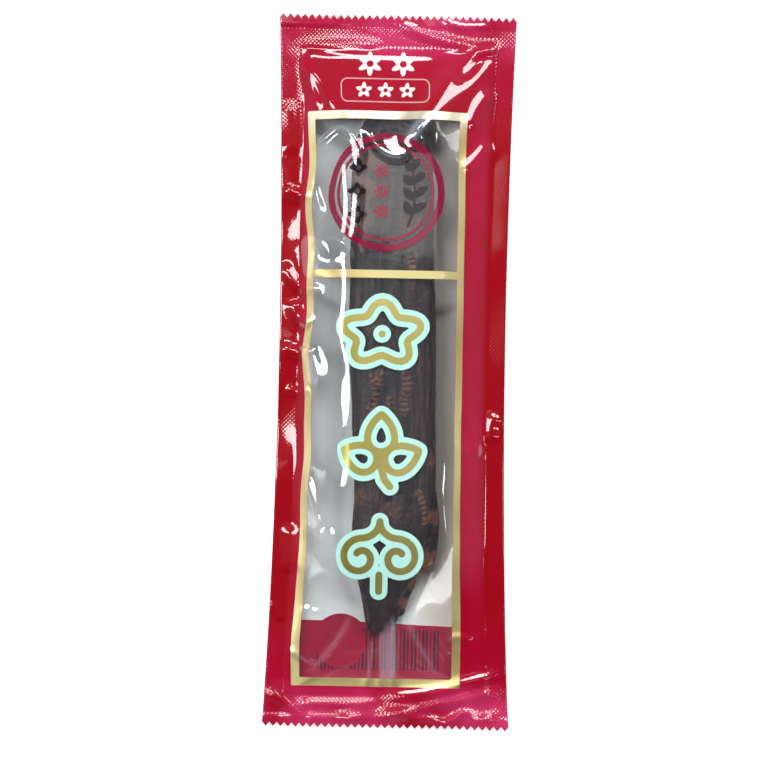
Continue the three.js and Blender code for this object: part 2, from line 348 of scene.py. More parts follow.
# Folds pressed into the front film: ((x, y) points, height, width), all in millimetres.
FRONT_FOLDS = [
    # hips from the corners of the head seal down to the root's shoulders
    ([(26, 81.8), (19, 79.4), (14.8, 74.5)], 0.7, 1.3),
    ([(15.6, 77.5), (11.6, 71), (7.4, 63.8), (1.5, 55.5)], 1.6, 2.9),
    ([(4.6, 55), (0, 53.2), (-4.4, 55.4), (-9.5, 62.4)], 0.25, 1.2),
    ([(-24.2, 78.4), (-21.6, 71.5), (-19.2, 64)], 0.6, 1.2),
    ([(-22.6, 76.6), (-19.2, 71.4), (-15.6, 64.6)], 0.5, 1.0),
    ([(-25, 80), (-12, 79.5), (2, 79.4), (14, 79.2)], 0.25, 1.0),
    ([(24, 71), (20.5, 66), (18.5, 60)], 0.65, 2.0),
    ([(24, 58), (20.5, 53.5), (16.5, 49.5)], 0.7, 1.9),
    # loop over the root's left shoulder
    ([(-20.8, 54), (-18.4, 57.2), (-14.6, 60.3), (-11.3, 59), (-9.2, 55), (-8.9, 49)], 0.6, 1.0),
    ([(-9.0, 47), (-9.4, 40), (-9.8, 35), (-11, 31)], 0.3, 0.9),
    ([(-19, 34), (-14.5, 32.6), (-11, 30.4), (-9.8, 27)], 0.4, 1.1),
    ([(-11.8, 8), (-10.6, 2.5), (-10.1, -7), (-11.3, -13.5), (-18, -17.5)], 0.3, 0.9),
    # crinkles of the left border
    ([(-28.5, 45.5), (-25, 44), (-20.5, 43.6)], 1.0, 1.6),
    ([(-22.5, 49), (-20.8, 46), (-19.5, 42), (-18, 38)], 0.5, 1.3),
    ([(-27.6, 68), (-26.6, 61), (-26.8, 53)], 0.7, 2.3),
    ([(-28, 27.5), (-25.5, 23), (-22, 20.6), (-17, 21)], 1.0, 1.6),
    ([(-20.9, 34), (-19.8, 29.5), (-19.5, 25.5), (-20.3, 21.5)], 1.2, 2.6),
    ([(-20.5, 30), (-17, 27.2), (-13, 27)], 0.4, 1.8),
    ([(-25, 18), (-23.6, 13.5), (-19.5, 11.5)], 1.1, 1.8),
    ([(-28.5, 6.4), (-24.5, 4.6), (-19, 5.4)], 1.0, 1.6),
    ([(-22, 7), (-20, 3.6), (-18.8, -0.5), (-19.5, -5)], 1.0, 1.9),
    ([(-26.5, -4), (-23.5, -5.4), (-20, -4)], 0.55, 1.1),
    ([(-21, -25), (-18.8, -33), (-17, -40)], 0.5, 0.8),
    ([(-20.5, -38), (-16.5, -41), (-12.5, -40)], 0.5, 1.9),
    ([(-25, -38), (-24.4, -44), (-24.2, -51)], 0.75, 1.7),
    ([(-29.8, -58), (-26, -63)], 0.4, 0.8),
    ([(-21.5, -59), (-18.5, -60.6), (-15, -60)], 0.35, 1.4),
    ([(-24.5, -69.5), (-21, -72.2), (-17.5, -74)], 0.4, 0.8),
    # right border
    ([(17, -8), (20.5, -14), (22.5, -22)], 0.25, 1.4),
    ([(26.6, -9.5), (25.0, -13.5), (25.6, -17.5)], 0.6, 1.6),
    ([(15.5, -16), (19, -20), (23.5, -18)], 0.3, 1.4),
    ([(15, 20), (19, 17), (23.5, 18)], 0.2, 1.5),
    ([(17, -33), (21, -38), (22.5, -46)], 0.25, 1.6),
    ([(14.5, -67), (18, -66), (22, -67.6)], 0.4, 0.9),
    # fan of folds from the root's tip to the foot seal
    ([(-3.6, -66), (-4.0, -73), (-4.8, -80)], 0.5, 1.0),
    ([(1.4, -60), (1.9, -70), (2.0, -80)], 1.0, 1.1),
    ([(-1.4, -64), (-1.2, -73), (-1.0, -80.5)], 0.9, 1.0),
    ([(4, -60), (8, -68), (13, -76)], 0.35, 1.5),
    ([(-8.5, -60), (-13, -68), (-19, -76)], 0.3, 1.5),
    ([(8.6, -50), (12, -56), (17, -60)], 0.35, 1.5),
    # folds across the foot seal
    ([(-3, -82.4), (10, -80.6), (20, -77.8), (31, -74.8)], 0.9, 1.5),
    ([(-3, -86.6), (8, -84.4), (18, -82), (31, -79.4)], 0.95, 1.7),
    ([(-13, -86.4), (-3, -86.2), (9, -85.2)], 1.0, 2.3),
    ([(-31, -80.5), (-26, -83), (-20, -87.5)], 0.7, 1.3),
    ([(4, -88.4), (10, -86.6), (15, -88), (20, -85), (24, -86.6), (29.5, -84.4)], 0.8, 1.1),
    ([(-24, -83.6), (-12, -83.4), (0, -82.9)], 0.7, 1.3),
    ([(-22, -87.2), (-13, -86.8), (-5, -87.6)], 0.5, 1.4),
    # folds across the head seal
    ([(-2, 88.5), (3, 85.8), (10, 83.6), (20, 81.6), (28, 82)], 0.7, 1.4),
    ([(-28, 80.6), (-16, 81.6), (-2, 82)], 0.45, 1.3),
    ([(10, 88.8), (16, 86.6), (24, 87)], 0.3, 0.9),
]

# Folds of the back film, which point down, in the same form.
BACK_FOLDS = [
    ([(-22, 77), (-16, 68), (-11, 60)], 0.6, 1.6),
    ([(22, 77), (16, 68), (11, 60)], 0.6, 1.6),
    ([(-22, -77), (-14, -68), (-8, -60)], 0.5, 1.6),
    ([(22, -77), (14, -68), (9, -58)], 0.5, 1.6),
    ([(-27, 30), (-20, 27), (-14, 28)], 0.5, 1.3),
    ([(-27, 2), (-20, -1), (-14, 1)], 0.5, 1.3),
    ([(27, 12), (20, 9), (14, 10)], 0.5, 1.3),
    ([(27, -28), (20, -24), (14, -26)], 0.5, 1.3),
]


def half_width(y):
    """Half the sachet's width: narrowest where the root fills it, widening as a square to both ends."""
    end = np.where(y > WAIST_Y, LENGTH / 2, -LENGTH / 2)
    full = np.where(y > WAIST_Y, HEAD_HALF, FOOT_HALF)
    share = (y - WAIST_Y) / (end - WAIST_Y)
    return WAIST_HALF + (full - WAIST_HALF) * share**2


def towards_seals(stations, y, film, value):
    """Stations over the root, run straight out to `value` at the inner edges of the end seals."""
    edge = seal_edge(film)
    return smooth_along([(-edge, value[0]), *stations, (edge, value[1])], y, 2.2)


def seal_edge(film):
    """Y of the inner edge of the head seal."""
    return LENGTH / 2 - (film.lip + film.end_seal) / MM


def ramp(value):
    """A ramp that starts at 0, with its corner rounded by a parabola."""
    rounded = (np.clip(value, -CREASE_ROUNDING, CREASE_ROUNDING) + CREASE_ROUNDING) ** 2
    return np.where(value >= CREASE_ROUNDING, value, rounded / (4 * CREASE_ROUNDING))


def taut_slope(x, y, film):
    """1 over the ridge that the root holds up, 0 at the side seal, and a straight taut slope between."""
    foot_half = half_width(np.float64(-seal_edge(film))) - film.side_seal / MM
    side_half = half_width(y) - film.side_seal / MM
    half = np.minimum(towards_seals(RIDGE_HALF, y, film, (foot_half, RIDGE_HALF[-1][1])), side_half)
    middle = towards_seals(RIDGE_MIDDLE, y, film, (0, 0))
    side = np.where(x < middle, -1, 1)
    half = half + 0.35 * np.sin(y / 3.3 + x / 9) * ease((half - 6) / 4)
    run = np.maximum(np.abs(side * side_half - middle) - half, 0.5)
    t = (np.abs(x - middle) - half) / run
    return 1 - ramp(t) + ramp(t - 1)


def seam_height(y):
    """Height of the plane in which the two films are welded."""
    return smooth_along(SEAM_HEIGHT, y, 9)


def edge_ripple(x, y, film):
    """Waves of the free border: sines along Y at the sides and along X at the ends, growing outwards."""
    out = ease((np.abs(x) / half_width(y) - 0.72) / 0.28)
    left = np.where(x < 0, 1.0, 0.0) * ease((70 - np.abs(y - 18)) / 40)
    slow = np.sin(y / 7.3 + np.where(x < 0, 0.4, 2.1)) + 0.6 * np.sin(y / 3.9 + np.where(x < 0, 1.9, 0.3))
    end = ease((np.abs(y) - seal_edge(film)) / 8)
    across = 0.5 * np.sin(x / 8.5 + np.where(y > 0, 0.6, 2.4))
    across += 0.3 * np.sin(x / 4.1 + np.where(y > 0, 2, 0))
    lifted_corner = 1.6 * ease((-y - 79) / 10) * ease((x - 4) / 24)
    sides = 0.42 * out * (0.35 + left) * slow
    return sides + end * across * np.where(y > 0, 0.7, 0.9) + lifted_corner


def fold_height(x, y, folds):
    """Sum of pinched ridges: each falls off as exp(-d^2 / w^2) from its path and fades at both ends."""
    total = np.zeros(np.shape(x))
    for points, height, width in folds:
        path = curve_through(points, 5 * len(points))
        away, share = distance_to_path(x, y, path)
        fade = ease(share / 0.22) * ease((1 - share) / 0.22)
        total += height * fade * np.exp(-((away / width) ** 2))
    return total


def swell(x, y, size, seed):
    """Soft billows from 0 to 1, about `size` across."""
    return 0.5 + 0.5 * lattice_noise(np.stack([x, y], axis=-1), (size, size * 1.5), seed)


def seal_mask(x, y, film):
    """1 in the crimped seals along the sides and across the ends, 0 elsewhere."""
    inner = half_width(y) - film.side_seal / MM
    edge = seal_edge(film)
    within = ease((edge + film.end_seal / MM - np.abs(y)) / 0.4 + 0.5)
    sides = ease((np.abs(x) - inner) / 0.5 + 0.5)
    ends = ease((np.abs(y) - edge) / 0.5 + 0.5)
    return np.maximum(sides, ends) * within


def film_detail(x, y, film, folds, seed):
    """What is finer than the taut shape and never negative: folds, and billows where the film is slack."""
    slope = taut_slope(x, y, film)
    free = np.clip(4 * slope * (1 - slope), 0, 1)
    border = ease((np.abs(x) / half_width(y) - 0.55) / 0.2)
    ends = ease((np.abs(y) - 56) / 12)
    left = np.where(x < 0, 1.0, 0.5)
    loose = np.clip(0.1 + 0.5 * free + 0.4 * border * left + 0.4 * ends, 0, 1)
    loose = loose * (1 - 0.7 * seal_mask(x, y, film))
    billows = 0.55 * swell(x, y, 11.0, seed) + 0.3 * left * swell(x, y, 5.5, seed + 2)
    return loose * billows + fold_height(x, y, folds)


def softer_minimum(first, second, softness):
    """The lower of two heights, blended where they are closer than `softness`."""
    gap = np.clip(0.5 + 0.5 * (second - first) / softness, 0, 1)
    return second + (first - second) * gap - softness * gap * (1 - gap)


def tent_height(x, y, film, seam):
    """The taut front film: sides sloping from the ridge to the side seals, cut by the fall at the head."""
    edge = seal_edge(film)
    ends = (float(seam_height(np.float64(-edge))), HEIGHT)
    top = np.maximum(towards_seals(RIDGE_TOP, y, film, ends), seam)
    sides = seam + (top - seam) * taut_slope(x, y, film)
    inwards = np.minimum(HEAD_CREST_CURVE * (x + 0.5) ** 2, HEAD_CREST_REACH) * ease((80 - y) / 20)
    at_seal = float(seam_height(np.float64(edge)))
    fall = smooth_along([*HEAD_FALL, (edge, at_seal), (LENGTH / 2 + 9, at_seal)], y - inwards, 1.2)
    return np.maximum(softer_minimum(sides, np.maximum(fall, seam), HEAD_CREST_SOFTNESS), seam)


def front_height(x, y, film):
    """Outer face of the front film: the tent over the root, with its folds and rippled borders."""
    seam = seam_height(y) + SEAM_CLEARANCE + film.thickness / MM
    ripple = (1 - taut_slope(x, y, film)) * edge_ripple(x, y, film)
    ripple = np.where(np.abs(y) > seal_edge(film), edge_ripple(x, y, film), ripple)
    return tent_height(x, y, film, seam) + ripple + film_detail(x, y, film, FRONT_FOLDS, 3)


def back_height(x, y, film):
    """Outer face of the back film: flat on the table under the root and taut up to the seals."""
    seam = seam_height(y) - SEAM_CLEARANCE - film.thickness / MM
    edge = seal_edge(film)
    foot, head = BACK_FLAT_ENDS
    lowest = along([(-edge, 1), (foot, 0), (head, 0), (edge, 1)], y) * seam
    slope = taut_slope(x, y, film)
    sealed = np.clip(seal_mask(x, y, film) + ease((np.abs(y) - edge) / 2), 0, 1)
    ripple = (1 - slope) * edge_ripple(x, y, film)
    ripple = np.where(np.abs(y) > edge, edge_ripple(x, y, film), ripple)
    welded = sealed * film_detail(x, y, film, FRONT_FOLDS, 3)
    slack = (1 - sealed) * ease(3 * (1 - slope)) * film_detail(x, y, film, BACK_FOLDS, 11)
    return np.maximum(seam + (lowest - seam) * slope + ripple + welded - slack, 0)


def film_grid(film, rows):
    """Points (x, y) of a film. Both ends are cut in a zigzag whose teeth fall on every fourth column."""
    columns = TEETH * COLUMNS_PER_TOOTH
    tau, along_y = np.meshgrid(np.linspace(-1, 1, columns + 1), np.linspace(-1, 1, rows))
    y = along_y * LENGTH / 2
    x = tau * half_width(y)
    tooth = np.abs(((np.arange(columns + 1) / COLUMNS_PER_TOOTH) % 1) * 2 - 1)
    near_cut = ease((np.abs(y) - (LENGTH / 2 - film.lip / MM)) / (film.lip / MM))
    return x, y - np.sign(y) * near_cut * film.tooth / MM * tooth


def film_shell(name, film, rows, height_of, inward):
    """A thin closed shell: the outer face, the same face moved in by the thickness, and the rim."""
    x, y = film_grid(film, rows)
    outer = height_of(x, y, film)
    inner = outer + inward * film.thickness / MM
    points = np.concatenate([np.stack([x, y, z], axis=-1).reshape(-1, 3) for z in (outer, inner)])
    count, columns = x.size, x.shape[1]
    faces = grid_faces(rows, columns)
    loop = np.concatenate([
        np.arange(columns), np.arange(1, rows) * columns + columns - 1,
        (rows - 1) * columns + np.arange(columns - 2, -1, -1), np.arange(rows - 2, 0, -1) * columns,
    ])
    after = np.roll(loop, -1)
    rim = np.stack([loop, loop + count, after + count, after], axis=1)
    if inward < 0:
        faces = np.concatenate([faces, faces[:, ::-1] + count, rim])
    else:
        faces = np.concatenate([faces[:, ::-1], faces + count, rim[:, ::-1]])
    return new_object(name, points, faces.tolist()), x, y, outer


# ---------------------------------------------------------------- print on the films

# Places on the flat film in millimetres: u across from its middle, v along from its middle.
FRAME_LOW, FRAME_HIGH = (-23.8, -79.0), (18.5, 64.75)
FRAME_STROKE = 2.1
DIVIDER_AT, DIVIDER_STROKE = 24.2, 2.0
EMBLEM = (-2.35, 44.4)
RING_RADII, RING_STROKES = (13.75, 11.7), (1.75, 0.75)
BLOSSOM, SPRIG, SCROLL = (-2.6, 9.4), (-2.35, -19.5), (-2.25, -45.8)
CORE_HALF, OUTLINE_HALF = 0.88, 2.2
LABEL_LOW, LABEL_HIGH, LABEL_CORNER, LABEL_STROKE = (-14.0, 67.1), (8.0, 73.1), 1.6, 0.3
WHITE_MARKS = [(-6.9, 77.0, 3.2, 6), (1.4, 77.0, 3.2, 6),
               (-8.3, 70.1, 2.1, 5), (-2.9, 70.1, 2.1, 5), (2.5, 70.1, 2.1, 5)]
BLACK_MARKS = [(-9.2, 50.4, 2.3, 4), (-9.4, 44.6, 2.3, 4), (-9.2, 38.8, 2.3, 4)]
RED_MARKS = [(-3.4, 49.6, 2.0, 8), (-3.4, 44.6, 2.0, 8), (-3.4, 39.6, 2.0, 8)]
BAND_AT, HUMP = -63.2, (-11.7, -68.2, 7.2)
BARS_LOW, BARS_HIGH, BAR_PITCHES = (-18.0, -75.0), (13.5, -64.8), (0.95, 2.6)
# Painted glare: how much white veil is laid along the folds, and in a strip under the root's tip.
FOLD_GLARE, FOLD_GLARE_WIDTH = 0.5, 0.4
TIP_GLARE_PATH, TIP_GLARE_HALF, TIP_GLARE_STRIP = [(0.9, -57), (0.3, -66), (0.5, -79.5)], 1.7, 0.42


def ellipse(centre, radii, start=0, end=360, turn=0, count=37):
    """Points of an ellipse from one angle to another in degrees, the whole turned by `turn`."""
    angle = np.radians(np.linspace(start, end, count))
    x, y = radii[0] * np.cos(angle), radii[1] * np.sin(angle)
    c, s = math.cos(math.radians(turn)), math.sin(math.radians(turn))
    return np.stack([centre[0] + c * x - s * y, centre[1] + s * x + c * y], axis=1)


def lobed_ring(centre, radii, lobes, depth, count=61):
    """A closed curve whose radius swells as a cosine once for each lobe."""
    angle = np.linspace(0, 2 * math.pi, count)
    reach = 1 + depth * np.cos(lobes * angle)
    return np.stack([centre[0] + radii[0] * reach * np.sin(angle),
                     centre[1] + radii[1] * reach * np.cos(angle)], axis=1)


def leaf_ring(centre, length, width, turn, count=33):
    """A closed leaf: an ellipse pinched to a point at its outer end, turned by `turn` degrees."""
    angle = np.linspace(0, 2 * math.pi, count)
    x = width * np.sin(angle) * np.abs(np.sin(angle / 2)) ** 0.7
    y = length * np.cos(angle)
    c, s = math.cos(math.radians(turn)), math.sin(math.radians(turn))
    return np.stack([centre[0] + c * x - s * y, centre[1] + s * x + c * y], axis=1)


def curl(centre, radius, inner, start, sweep, count=33):
    """A spiral whose radius shrinks evenly from `radius` to `inner` while it turns by `sweep` degrees."""
    angle = np.radians(start + np.linspace(0, sweep, count))
    reach = np.linspace(radius, inner, count)
    return np.stack([centre[0] + reach * np.cos(angle), centre[1] + reach * np.sin(angle)], axis=1)


def ornament_paths():
    """The strokes of the three gold ornaments: a blossom, a sprig of three leaves and a double scroll."""
    bx, by = BLOSSOM
    sx, sy = SPRIG
    cx, cy = SCROLL
    paths = [lobed_ring(BLOSSOM, (8.3, 6.6), 5, 0.2), [(bx, by), (bx, by + 0.01)]]
    paths += [leaf_ring((sx, sy + 4.4), 4.6, 4.1, 0), leaf_ring((sx - 5.3, sy - 1.6), 4.4, 4.0, 66),
              leaf_ring((sx + 5.3, sy - 1.6), 4.4, 4.0, -66)]
    paths += [[(sx, sy - 0.4), (sx + 0.1, sy - 4), (sx + 0.9, sy - 7), (sx + 2.4, sy - 8.8)]]
    for side in (-1, 1):
        spiral = curl((-4.7, -0.3), 4.9, 1.4, 90, 400)
        arch = ellipse((-4.7, 8.8), (4.7, 4.2), -90, 0, count=13)
        paths += [(cx, cy) + path * (-side, 1) for path in (spiral, arch)]
    paths.append([(cx, cy - 4.6), (cx, cy - 8.8)])
    return paths


def rosettes(u, v, marks):
    """Signed distance to small flowers (u, v, radius, petals), whose radius swells at each petal."""
    nearest = np.full(np.shape(u), 9.0)
    for mark_u, mark_v, radius, petals in marks:
        du, dv = u - mark_u, v - mark_v
        angle = np.arctan2(du, dv)
        reach = radius * (0.74 + 0.26 * np.cos(petals * angle))
        flower = np.maximum(np.hypot(du, dv) - reach, 0.28 * radius - np.hypot(du, dv))
        nearest = np.minimum(nearest, flower)
    return nearest


def leafy_twig(u, v):
    """Signed distance to a filled twig: a curved stem with pairs of leaves, widest at mid length."""
    stem = [(3.2, 36.0), (4.6, 40.0), (4.9, 44.5), (4.2, 49.0), (4.4, 52.6)]
    away, share = distance_to_path(u, v, stem)
    nearest = away - 0.34 + 0.1 * share
    for base_u, base_v, reach, turn in [
        (4.2, 38.8, 4.0, 118), (4.3, 39.4, 4.4, 34), (4.8, 42.6, 4.2, 132), (4.9, 43.2, 4.2, 42),
        (4.7, 46.4, 3.8, 140), (4.7, 46.8, 3.7, 44), (4.3, 49.8, 3.0, 128), (4.3, 50.2, 3.0, 56),
    ]:
        c, s = math.cos(math.radians(turn)), math.sin(math.radians(turn))
        middle = (base_u + 0.5 * reach * c - 0.25 * s, base_v + 0.5 * reach * s + 0.25 * c)
        tip = (base_u + reach * c, base_v + reach * s)
        away, share = distance_to_path(u, v, [(base_u, base_v), middle, tip])
        nearest = np.minimum(nearest, away - 1.05 * np.sin(math.pi * np.clip(share, 0.02, 0.98)) ** 0.8)
    return nearest


def nearest_path(u, v, paths):
    """Distance to the nearest of several paths."""
    return np.minimum.reduce([distance_to_path(u, v, path)[0] for path in paths])


def across_film(x, z):
    """Arc length across each row of a film's grid, from its middle column outwards."""
    steps = np.hypot(np.diff(x, axis=1), np.diff(z, axis=1))
    run = np.concatenate([np.zeros((len(x), 1)), np.cumsum(steps, axis=1)], axis=1)
    return run - run[:, x.shape[1] // 2][:, None]


def crimp_depth(x, y):
    """The crimp bites deepest across the ends, and shows only in patches along the sides."""
    patches = ease(1.6 * lattice_noise(np.stack([x, y], axis=-1), (6, 14), 31) - 0.35)
    return np.maximum(ease((np.abs(y) - np.where(y > 0, 54, 66)) / 14), 0.08 + 0.5 * patches)


def print_wander(x, y):
    """How far the print is pulled sideways where the left border is crumpled."""
    left = ease((-x - 8) / 12)
    reach = 0.3 + 0.7 * ease((62 - np.abs(y - 20)) / 30)
    return left * reach * (0.45 * np.sin(y / 6.1 + 1.0) + 0.3 * np.sin(y / 2.9))


def painted_glare_of(x, y):
    """Painted glare on the clear film: how much white veil is laid along its folds and in a strip under the
    root's tip.
    """
    narrow = [(points, height, width * FOLD_GLARE_WIDTH) for points, height, width in FRONT_FOLDS]
    tip, _ = distance_to_path(x, y, TIP_GLARE_PATH)
    strip = TIP_GLARE_STRIP * ease((TIP_GLARE_HALF - tip) / 0.9) * ease((-61 - y) / 7)
    return np.clip(FOLD_GLARE * fold_height(x, y, narrow), 0, FOLD_GLARE) + strip


def write_front_print(mesh, u, v, x, y, film):
    """The distances and places that the front material cuts its inks from, on both faces of the shell."""
    both = lambda grid: np.tile(grid.ravel(), 2)
    edge = half_width(y) - film.side_seal / MM
    values = {
        "across": u,
        "along": v,
        "frame": rectangle_distance(u, v, FRAME_LOW, FRAME_HIGH),
        "stroke": nearest_path(u, v, ornament_paths()),
        "emblem": np.hypot(u - EMBLEM[0], v - EMBLEM[1]),
        "black": np.minimum(rosettes(u, v, BLACK_MARKS), leafy_twig(u, v)),
        "red_marks": rosettes(u, v, RED_MARKS),
        "white": rosettes(u, v, WHITE_MARKS),
        "label": rectangle_distance(
            u, v, np.add(LABEL_LOW, LABEL_CORNER), np.subtract(LABEL_HIGH, LABEL_CORNER)) - LABEL_CORNER,
        "seal": seal_mask(x, y, film) * crimp_depth(x, y),
        "from_seal": edge - np.abs(x),
        "painted_glare": painted_glare_of(x, y),
    }
    for name, grid in values.items():
        write_value(mesh, name, both(grid))


def write_back_print(mesh, u, v, x, y, film):
    """The same for the back film, whose white panel, red band and bars show through the window."""
    both = lambda grid: np.tile(grid.ravel(), 2)
    hump = np.hypot(u - HUMP[0], v - HUMP[1]) - HUMP[2]
    sag = 0.6 * np.sin((u + 3) / 14)
    values = {
        "across": u,
        "along": v,
        "panel": rectangle_distance(u, v, np.add(FRAME_LOW, (1, 0)), np.subtract(FRAME_HIGH, (1, 0))),
        "band": np.minimum(v - (BAND_AT - sag), hump),
        "bars": rectangle_distance(u, v, BARS_LOW, BARS_HIGH),
        "hump": hump,
        "seal": seal_mask(x, y, film) * crimp_depth(x, y),
    }
    for name, grid in values.items():
        write_value(mesh, name, both(grid))


# ---------------------------------------------------------------- the root's shape

# Stations of the body along Y in millimetres: (y, half width, half thickness, middle x).
BODY = [
    (-67, 0, 0, -3.6), (-65.5, 1.7, 1.2, -3.3), (-62, 2.9, 2.0, -2.9), (-58, 4.6, 2.9, -2.0),
    (-53, 6.6, 3.8, -1.3), (-48, 8.6, 4.7, -0.5), (-42, 9.8, 5.4, 0.4), (-32, 10.4, 6.0, 1.5),
    (-20, 10.5, 6.2, 1.2), (-5, 10.7, 6.3, 0.5), (8, 11.1, 6.3, -0.2), (25, 10.7, 6.3, -0.3),
    (42, 10.5, 6.3, -0.6), (52, 10.3, 6.1, -0.8), (58, 9.2, 5.7, -1.0), (62, 7.6, 5.0, -1.2),
    (65, 5.0, 3.6, -1.6), (66.5, 0, 0, -2.0),
]
PRESSED_POWER = 3.4
# Limbs: (points, radii along them, how much taller than wide).
LIMBS = [
    ([(-3.6, 60, 6.6), (-4.2, 66, 6.4), (-4.0, 70, 6.0)], [3.2, 2.6, 2.1], 1.0),
    ([(8.0, -30, 6.2), (8.7, -41, 5.4), (8.2, -50.5, 4.8)], [4.2, 3.9, 3.0], 1.0),
    ([(1.2, -50, 4.0), (1.6, -57, 3.2), (1.1, -64.5, 2.4)], [3.2, 2.3, 1.2], 1.0),
    ([(7.0, -46, 4.2), (5.6, -54, 3.0), (3.4, -61.5, 2.2)], [1.5, 1.2, 0.8], 1.0),
]
# Short dried rootlets lying on the pressed face: (points, radius), their beads a ring each.
ROOTLETS = [
    ([(-3.0, -0.6, 12.1), (-3.9, -3.6, 12.5), (-4.4, -6.8, 12.5), (-5.6, -10.2, 12.1)], 1.0),
    ([(3.4, -0.4, 12.1), (3.7, -3.4, 12.5), (3.0, -6.4, 12.5), (3.4, -9.8, 12.2)], 0.95),
    ([(-0.6, -6.6, 12.2), (-0.3, -8.4, 12.4), (-0.4, -11.2, 12.1)], 0.7),
    ([(-5.4, -1.2, 12.2), (-4.6, -2.8, 12.4), (-4.2, -4.4, 12.2)], 0.6),
    ([(4.6, 26.0, 12.2), (4.2, 28.2, 12.5), (4.4, 30.2, 12.2)], 0.9),
    ([(7.4, -30.0, 11.4), (8.8, -34.0, 11.0), (9.0, -38.0, 10.2)], 0.8),
]
BEAD_PITCH, BEAD_SWELL = 1.3, 0.16
# Corky and reddish patches on the skin: (x, y, radius, strength).
PATCHES = [
    (4.3, 28.2, 1.5, 0.7),
    (9.2, -47.5, 4.2, 1.0), (8.4, -51, 2.6, 1.0), (6.4, -53, 1.8, 0.9), (4.6, -58, 1.8, 0.8),
    (-7.5, 46, 4.0, 0.5), (-8.0, 38, 3.4, 0.45), (-6.4, 52, 3.0, 0.4), (4.6, 35.2, 3.2, 0.4),
    (11.2, -22, 2.2, 0.5), (11.4, -36, 2.6, 0.7), (-3.4, 69, 3.0, 0.6), (7, -22, 2.6, 0.35),
    (-5.4, 12.5, 2.6, 0.3), (-8, -31, 2.8, 0.35), (0, -34, 3.0, 0.3),
]


def tube(path, wide, tall, power=2.0, sides=32):
    """Superellipses carried square to a path, as (points, faces), with a flat cap at each end."""
    heading = np.gradient(path, axis=0)
    heading /= np.linalg.norm(heading, axis=1)[:, None]
    side = np.cross(heading, (0, 0, 1.0))
    side /= np.linalg.norm(side, axis=1)[:, None]
    lift = np.cross(side, heading)
    angle = np.arange(sides) * 2 * math.pi / sides
    reach = (np.abs(np.cos(angle)) ** power + np.abs(np.sin(angle)) ** power) ** (-1 / power)
    out = (wide[:, None] * reach * np.cos(angle))[..., None] * side[:, None, :]
    up = (tall[:, None] * reach * np.sin(angle))[..., None] * lift[:, None, :]
    points = (path[:, None, :] + out + up).reshape(-1, 3)
    rings = len(path)
    index = np.arange(rings * sides).reshape(rings, sides)
    after = np.roll(index, -1, axis=1)
    faces = np.stack([index[:-1], after[:-1], after[1:], index[1:]], axis=-1).reshape(-1, 4).tolist()
    return points, faces + [index[0][::-1].tolist(), index[-1].tolist()]


def root_parts():
    """The tubes that the root is grown from: body, limbs and the rootlets that lie on it."""
    stations = np.array(BODY)
    y = np.linspace(stations[0, 0] + 0.15, stations[-1, 0] - 0.1, 220)
    wide, tall, middle = (smooth_along(stations[:, (0, k)], y, 1.6) for k in (1, 2, 3))
    wide, tall = np.maximum(wide, 0.3), np.maximum(tall, 0.3)
    path = np.stack([middle, y, ROOT_FLOOR + np.maximum(tall, 1.2)], axis=1)
    parts = [tube(path, wide, tall, PRESSED_POWER, 96)]
    for points, radii, tall_share in LIMBS:
        path = curve_through(points, 40)
        radius = curve_through([(r, 0, 0) for r in radii], 40)[:, 0]
        ends = np.sqrt(np.clip(1 - np.linspace(-0.02, 1, 40) ** 12, 0.02, 1))
        parts.append(tube(path, radius * ends, radius * ends * tall_share))
    for points, radius in ROOTLETS:
        path = curve_through(points, 60)
        run = np.concatenate([[0], np.cumsum(np.linalg.norm(np.diff(path, axis=0), axis=1))])
        taper = np.sqrt(np.clip(np.sin(math.pi * np.linspace(0.03, 0.97, 60)), 0, 1))
        beads = radius * taper * (1 + BEAD_SWELL * np.cos(2 * math.pi * run / BEAD_PITCH))
        parts.append(tube(path, beads, beads, sides=20))
    return parts


def remesh(piece, voxel):
    """Replaces the piece's mesh by one closed skin round everything in it."""
    step = piece.modifiers.new("Skin", "REMESH")
    step.mode, step.voxel_size, step.adaptivity = "VOXEL", voxel, 0.0
    bpy.context.view_layer.update()
    shape = piece.evaluated_get(bpy.context.evaluated_depsgraph_get())
    skin = bpy.data.meshes.new_from_object(shape)
    piece.modifiers.clear()
    rough = piece.data
    piece.data = skin
    bpy.data.meshes.remove(rough)
    skin.shade_smooth()


def point_normals(mesh):
    """The mesh's normals at its points."""
    found = np.empty(len(mesh.vertices) * 3, np.float32)
    mesh.vertex_normals.foreach_get("vector", found)
    return found.reshape(-1, 3).astype(float)


def beads_on(points):
    """How near each upper point is to a dried rootlet, and the phase of its rings, from -1 to 1."""
    near, phase = np.zeros(len(points)), np.zeros(len(points))
    for path, radius in ROOTLETS:
        path = curve_through(path, 24)[:, :2]
        length = np.linalg.norm(np.diff(path, axis=0), axis=1).sum()
        away, share = distance_to_path(points[:, 0], points[:, 1], path)
        closer = ease(2.2 - 1.6 * away / radius) * ease((points[:, 2] - 8) / 2)
        uneven = 0.9 * lattice_noise(points, (0.8, 1.1, 0.8), 33)
        rings = np.cos(2 * math.pi * share * length / BEAD_PITCH + 2 * uneven)
        phase = np.where(closer > near, rings, phase)
        near = np.maximum(near, closer)
    return near, phase


def patch_strength(points):
    """How corky the skin is: each patch fades out as a cubic, and its rim is broken by noise."""
    rim = 1 + 0.55 * lattice_noise(points, (1.3, 1.7, 1.3), 21)
    rim += 0.25 * lattice_noise(points, (0.6, 0.7, 0.6), 23)
    total = np.zeros(len(points))
    for x, y, radius, strength in PATCHES:
        away = np.hypot(points[:, 0] - x, points[:, 1] - y) / (radius * rim)
        total = np.maximum(total, strength * ease(1.6 - 1.4 * away))
    return total


